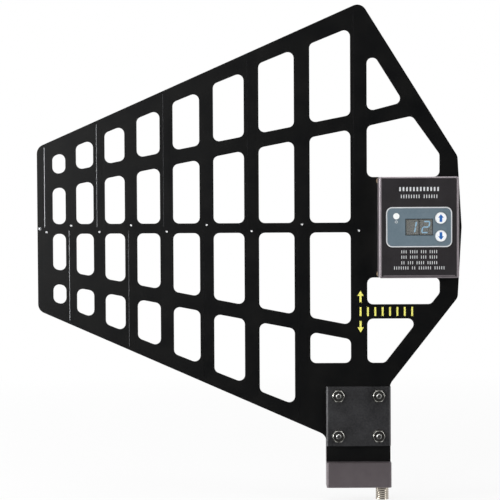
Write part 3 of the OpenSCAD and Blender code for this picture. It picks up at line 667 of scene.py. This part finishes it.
def sign_arc(radius):
    """Points on the open ring of the sign."""
    turns = [math.radians(SIGN_START + SIGN_TURN * i / SIGN_STEPS) for i in range(SIGN_STEPS + 1)]
    return [(sign_x + radius * math.cos(a), sign_z + radius * math.sin(a)) for a in turns]


ring = band(sign_arc(SIGN_R), sign_arc(SIGN_R - SIGN_LINE), film_y, film_y - PRINT, closed=False)
piece("power_sign_ring", *ring, white_print)
stroke = bar(sign_x, sign_z + STROKE_UP, SIGN_LINE, STROKE_HIGH)
piece("power_sign_stroke", *flat_shapes([stroke], film_y, film_y - PRINT), white_print)

# %% [markdown]
# ## The display's ground
# Behind the strokes of each digit lies a brown grey ground, and the black rim of the display shows
# round it. Two thin plates on the floor of the display's two cells make it.

# %% Ground of the cells
CELL_RIM = 0.7
CELL_DEEP = 0.4
FILM = 0.02
display_low, display_high = (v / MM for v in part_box("display_body"))
display_x = (display_low.x + display_high.x) / 2
display_z = (display_low.z + display_high.z) / 2
cell_wide = (display_high.x - display_low.x - 3 * CELL_RIM) / 2
cell_tall = display_high.z - display_low.z - 2 * CELL_RIM
cell_y = display_low.y + CELL_DEEP
apart = (cell_wide + CELL_RIM) / 2
grounds = [bar(display_x + side * apart, display_z, cell_wide - FILM, cell_tall - FILM)
           for side in (-1, 1)]
piece("cell_grounds", *flat_shapes(grounds, cell_y, cell_y - FILM), cell_ground)

# %% [markdown]
# ## The arrows of the buttons
# The arrows are blue film laid over the arrow that is sunk in each cap, so they are cut a little
# larger than it. They ride on the buttons, so that they move in and out with them.

# %% Arrows in the buttons
ARROW = [(0, 2.75), (1.95, 0.3), (0.95, 0.3), (0.95, -2.7), (-0.95, -2.7), (-0.95, 0.3), (-1.95, 0.3)]


def button_arrow(name, node, body, way):
    """The arrow on one button, which points up for a way of 1 and down for -1."""
    low, high = (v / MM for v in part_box(node))
    x, z = (low.x + high.x) / 2, (low.z + high.z) / 2
    outline = [(x + way * a, z + way * b) for a, b in ARROW]
    return piece(name, *flat_shapes([outline], low.y, low.y - FILM), blue_print, body)


button_arrow("up_arrow", "up_button", "up_key", 1)
button_arrow("down_arrow", "down_button", "down_key", -1)

# %% [markdown]
# ## Threads
# The coaxial jack's barrel is threaded, which a plain CAD cylinder only stands for. A thread is a
# round wall whose radius rises and falls along a screw line. It is a grid of rings, and the last
# part of the thread fades out towards each end.

# %% Threaded walls
AROUND = 48
RINGS_PER_TURN = 8
FADE_RINGS = 6
FLANK = 3.2


def circle(x, z, radius, around):
    """Points (x, y, z) of a level circle about the upright axis through x."""
    turns = [2 * math.pi * i / around for i in range(around)]
    return [(x + radius * math.cos(a), radius * math.sin(a), z) for a in turns]


def thread_rings(x, z_low, z_high, crest, root, pitch):
    """Rings of points on a threaded wall about an upright axis, and how many rings there are."""
    steps = round((z_high - z_low) / pitch * RINGS_PER_TURN)
    points = []
    for k in range(steps + 1):
        z = z_low + (z_high - z_low) * k / steps
        fade = min(1, k / FADE_RINGS, (steps - k) / FADE_RINGS)
        for i in range(AROUND):
            turn = i / AROUND
            phase = (z / pitch - turn) % 1
            cut = min(1, max(0, FLANK / 2 - FLANK * abs(phase - 0.5))) * fade
            radius = crest + (root - crest) * cut
            a = 2 * math.pi * turn
            points.append((x + radius * math.cos(a), radius * math.sin(a), z))
    return points, steps + 1


def wall_faces(rings, around, start=0, outward=True):
    """Faces of the wall between rings of points, from the point with the number start."""
    faces = []
    for k in range(rings - 1):
        for i in range(around):
            a = start + k * around + i
            b = start + k * around + (i + 1) % around
            quad = [a, b, b + around, a + around]
            faces.append(quad if outward else quad[::-1])
    return faces


# %% [markdown]
# The barrel's thread ends just under the block. From there a plainer neck goes up into the block,
# then the wall turns in over the top and goes down the bore to the mouth, where it closes.

# %% Barrel of the jack
JACK_CREST = 4.75
JACK_ROOT = 4.6
JACK_PITCH = 1.4
JACK_NECK = 4.2
JACK_BORE = 3.4
BELOW_BLOCK = 0.02
shell_low, shell_high = (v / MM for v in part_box("jack_shell"))
jack_x = (shell_low.x + shell_high.x) / 2
points, rings = thread_rings(jack_x, shell_low.z, -BELOW_BLOCK, JACK_CREST, JACK_ROOT, JACK_PITCH)
faces = wall_faces(rings, AROUND)
for z, radius in [(0, JACK_NECK), (shell_high.z, JACK_NECK), (shell_high.z, JACK_BORE),
                  (shell_low.z, JACK_BORE), (shell_low.z, JACK_CREST)]:
    last = len(points) - AROUND
    points += circle(jack_x, z, radius, AROUND)
    faces += wall_faces(2, AROUND, last)
barrel = piece("threaded_barrel", points, faces, jack_nickel)
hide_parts("jack_shell")

# %% [markdown]
# The stand thread is cut into the mount block. Its solid is a plain bore, and a thin threaded
# sleeve just inside the wall shows the turns of the thread from below.

# %% Stand thread
STAND_R = 7.42
STAND_ROOT = 7.1
STAND_PITCH = 0.94
STAND_FROM = 0.3
STAND_TO = 10.9
points, rings = thread_rings(0, STAND_FROM, STAND_TO, STAND_R, STAND_ROOT, STAND_PITCH)
piece("stand_thread_turns", points, wall_faces(rings, AROUND, outward=False), block_anodised)

# %% [markdown]
# The ends of the clamp screws stand out of the nuts. Two fine rings of thread lie round each end,
# and one loop sets them at all four screws.

# %% Turns on the screw ends
def ring_about(x, z, y, radius, around):
    """Points of a circle in mm about an axis that runs front to back."""
    turns = [2 * math.pi * i / around for i in range(around)]
    return [(x + radius * math.cos(a), y, z + radius * math.sin(a)) for a in turns]


SCREW_R = 1.75
SCREW_HALF_PITCH = 14.5
SCREW_AROUND = 24
TURN_HALF = 0.12
TURN_PROUD = 0.12
TURN_SUNK = 0.05
TURNS_OUT = (0.12, 0.42)
nut_low, nut_high = (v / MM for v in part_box("hex_nuts"))
nut_z = (nut_low.z + nut_high.z) / 2
points, faces = [], []
for sx in (-1, 1):
    for sz in (-1, 1):
        x, z = sx * SCREW_HALF_PITCH, nut_z + sz * SCREW_HALF_PITCH
        for out in TURNS_OUT:
            at = len(points)
            for past, radius in [(TURN_HALF, SCREW_R - TURN_SUNK), (0, SCREW_R + TURN_PROUD),
                                 (-TURN_HALF, SCREW_R - TURN_SUNK)]:
                points += ring_about(x, z, nut_low.y - out - past, radius, SCREW_AROUND)
            faces += wall_faces(3, SCREW_AROUND, at)
piece("screw_turns", points, faces, screw_steel, smooth=True)

# %% [markdown]
# ## Solder
# A drop of solder sits on the pin at the tip of the boom, front and back, and a small cone round
# each pin of the amplifier where it comes out at the back of the board. A drop is a low dome: rings
# that narrow from its foot to its top.

# %% Shape of a drop
DROP_RINGS = 5
DROP_AROUND = 20


def drop(x, z, y, out, foot, high, top):
    """Points and faces of a low cone with a hollow flank, standing on the plane y."""
    points = []
    for k in range(DROP_RINGS + 1):
        share = k / DROP_RINGS
        radius = foot + (top - foot) * (1 - (1 - share) ** 2)
        points += ring_about(x, z, y + out * high * share ** 1.6, radius, DROP_AROUND)
    faces = wall_faces(DROP_RINGS + 1, DROP_AROUND, outward=out < 0)
    cap = [DROP_RINGS * DROP_AROUND + i for i in range(DROP_AROUND)]
    faces.append(cap if out < 0 else cap[::-1])
    return points, faces


# %% [markdown]
# The pin at the tip gets one drop in front and one behind. The amplifier's six pins stand in two
# rows of three, one row at the boom and one at the foot of the box.

# %% Drops of solder
TIP_DROP = {"foot": 1.15, "high": 0.33, "top": 0.3}
PIN_GAP = 4
PIN_R = 0.4
PIN_DROP = {"foot": 1.0, "high": 0.8, "top": PIN_R + 0.02}
tip_low, tip_high = (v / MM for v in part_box("tip_solder"))
tip_x, tip_z = (tip_low.x + tip_high.x) / 2, (tip_low.z + tip_high.z) / 2
tip_drops = [drop(tip_x, tip_z, y, out, **TIP_DROP) for y, out in ((front_y, -1), (rear_y, 1))]
piece("tip_drops", *join(tip_drops), solder_tin, smooth=True)
pins_low, pins_high = (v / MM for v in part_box("feed_pins"))
pin_spots = [(pins_low.x + PIN_R, box_z + i * PIN_GAP) for i in (-1, 0, 1)]
pin_spots += [(box_x + i * PIN_GAP, pins_low.z + PIN_R) for i in (-1, 0, 1)]
pin_drops = [drop(x, z, board_high.y, 1, **PIN_DROP) for x, z in pin_spots]
piece("pin_drops", *join(pin_drops), solder_tin, smooth=True)

# %% [markdown]
# ## The studio
# The antenna stands in white: a pale floor and a white surround. The camera, mirrors and glass see
# the surround as plain white, but it lights things at a lower level of its own. Black lacquer would
# turn grey in so much white, so a dark drape hangs behind the camera, and only mirrors see it.

# %% Surround
ROOM_LIGHT = 0.27
DRAPE_TURN = math.radians(4)
DRAPE_FROM = 0.35
DRAPE_TO = 0.85
DRAPE_DARK = 0.97
WHITE = (1, 1, 1, 1)
world = bpy.data.worlds.new("surround")
scene.world = world


class Surround(Finish):
    """The world's own nodes, built with the same methods as a material's."""

    def __init__(self, holder):
        holder.use_nodes = True
        self.tree = holder.node_tree
        self.tree.nodes.clear()
        self.where = self.add("ShaderNodeTexCoord", {}, {}).outputs["Generated"]


def mirrored(finish):
    """1 where a mirror looks, and 0 elsewhere."""
    return Amount(finish, finish.add("ShaderNodeLightPath", {}, {}).outputs["Is Glossy Ray"])


def seen_directly(finish):
    """1 where the camera, a mirror or glass looks, and 0 for the light that falls on things."""
    ray = finish.add("ShaderNodeLightPath", {}, {}).outputs
    camera, glass = (Amount(finish, ray[n]) for n in ("Is Camera Ray", "Is Transmission Ray"))
    return camera.larger(mirrored(finish)).larger(glass)


room = Surround(world)
ahead = room.axis("X") * math.sin(DRAPE_TURN) - room.axis("Y") * math.cos(DRAPE_TURN)
drape = ahead.between(DRAPE_FROM, DRAPE_TO) * mirrored(room)
dim = room.add("ShaderNodeBackground", {}, {"Color": WHITE, "Strength": ROOM_LIGHT})
white = room.add("ShaderNodeBackground", {}, {"Color": WHITE, "Strength": 1 - drape * DRAPE_DARK})
choice = room.add(
    "ShaderNodeMixShader", {}, {0: seen_directly(room), 1: dim.outputs[0], 2: white.outputs[0]}
)
room.add("ShaderNodeOutputWorld", {}, {"Surface": choice.outputs[0]})

# %% [markdown]
# The floor glows white for the camera, a little less near the antenna, where it keeps the shadow.
# The dark drape runs out over the floor in front of the antenna, where only mirrors see it.

# %% Paint of the floor
FLOOR_NEAR = 0.25
FLOOR_FAR = 0.9
FLOOR_GLOW = 0.85
CLOTH_FROM = 0.0
CLOTH_TO = 0.1
floor_paint = Finish("floor_paint", {"Base Color": paint(240, 240, 240), "Roughness": 0.9})
glow = floor_paint.add("ShaderNodeEmission", {}, {"Color": WHITE, "Strength": 1})
reach = floor_paint.add("ShaderNodeVectorMath", {"operation": "LENGTH"}, {0: floor_paint.place()})
far_off = Amount(floor_paint, reach.outputs["Value"]).between(FLOOR_NEAR, FLOOR_FAR)
lit_or_white = floor_paint.add("ShaderNodeMixShader", {}, {
    0: seen_directly(floor_paint) * (FLOOR_GLOW + far_off * (1 - FLOOR_GLOW)),
    1: floor_paint.shader.outputs[0],
    2: glow.outputs[0],
})
cloth = floor_paint.add("ShaderNodeEmission", {}, {"Color": WHITE, "Strength": 1 - DRAPE_DARK})
shown = floor_paint.add("ShaderNodeMixShader", {}, {
    0: (0 - floor_paint.axis("Y")).between(CLOTH_FROM, CLOTH_TO) * mirrored(floor_paint),
    1: lit_or_white.outputs[0],
    2: cloth.outputs[0],
})
floor_paint.feed(floor_paint.tree.nodes["Material Output"], {"Surface": shown.outputs[0]})

# %% Floor
FLOOR_Z = -10
FLOOR_HALF = 6000
corners = [Vector((sx * FLOOR_HALF, sy * FLOOR_HALF, FLOOR_Z)) * MM
           for sx, sy in [(-1, -1), (1, -1), (1, 1), (-1, 1)]]
floor_mesh = bpy.data.meshes.new("floor")
floor_mesh.from_pydata(corners, [], [[0, 1, 2, 3]])
floor_mesh.materials.append(floor_paint.material)
floor = bpy.data.objects.new("floor", floor_mesh)
scene.collection.objects.link(floor)
floor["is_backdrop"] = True
print("floor at", FLOOR_Z, "mm")

# %% [markdown]
# A soft box is an area lamp turned towards the object. Its turn comes from the line between the
# two, so a lamp is moved by its place alone. Two tall ones at the sides give the long highlights,
# the left one stronger. A narrow one near the camera puts the soft sheen on the lacquer's left end,
# and one above lights the upper edges.

# %% Soft boxes
MIDDLE = Vector((-0.08, 0, 0.17))


def soft_box(name, place, wide, high, watts):
    """An area lamp at a place in metres that looks at the middle of the antenna."""
    lamp = bpy.data.lights.new(name, "AREA")
    lamp.shape = "RECTANGLE"
    lamp.size, lamp.size_y = wide, high
    lamp.energy = watts
    box = bpy.data.objects.new(name, lamp)
    box.location = place
    box.rotation_euler = (MIDDLE - Vector(place)).to_track_quat("-Z", "Y").to_euler()
    scene.collection.objects.link(box)


soft_box("left_soft_box", (-1.35, -0.22, 0.25), 0.8, 1.3, 30)
soft_box("right_soft_box", (1.2, -0.75, 0.25), 0.55, 1.2, 9)
soft_box("left_strip_light", (-0.68, -1.3, 0.25), 0.12, 1.2, 6)
soft_box("top_soft_box", (0, -0.1, 1.5), 1.2, 0.6, 8)
print("four lamps look at", list(MIDDLE))

# %% [markdown]
# ## The camera
# The camera stands well away with a long lens, so that the board's far corners are hardly smaller
# than its near ones. It looks slightly down, and the picture is rolled by a third of a degree. Its
# three axes are worked out from those angles.

# %% Camera
SENSOR = 36
AIM = Vector((-77.45, -0.8, 170.68)) * MM
DISTANCE = 1.2996
LENS = 130.23
YAW, PITCH, ROLL = (math.radians(a) for a in (-0.253, -1.961, 0.313))
right = Vector((math.cos(YAW), -math.sin(YAW), 0))
forward = Vector((math.cos(PITCH) * math.sin(YAW), math.cos(PITCH) * math.cos(YAW), math.sin(PITCH)))
up = right.cross(forward)
across = math.cos(ROLL) * right - math.sin(ROLL) * up
upward = math.sin(ROLL) * right + math.cos(ROLL) * up
lens = bpy.data.cameras.new("camera")
lens.lens = LENS
lens.sensor_width = SENSOR
lens.clip_start, lens.clip_end = 0.05, 50
camera = bpy.data.objects.new("camera", lens)
camera.matrix_world = Matrix.Translation(AIM - forward * DISTANCE) @ Matrix(
    (across, upward, -forward)).transposed().to_4x4()
scene.collection.objects.link(camera)
scene.camera = camera
scene.view_settings.view_transform = "Standard"
print("camera at", [round(v, 3) for v in camera.matrix_world.translation])

# %% [markdown]
# ## Closing
# The size of the dressed model is printed, so that a piece that stands out too far is noticed.

# %% Sizes and finish
low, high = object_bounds()
print("visual box in mm:", [round(v / MM, 1) for v in (*low, *high)])
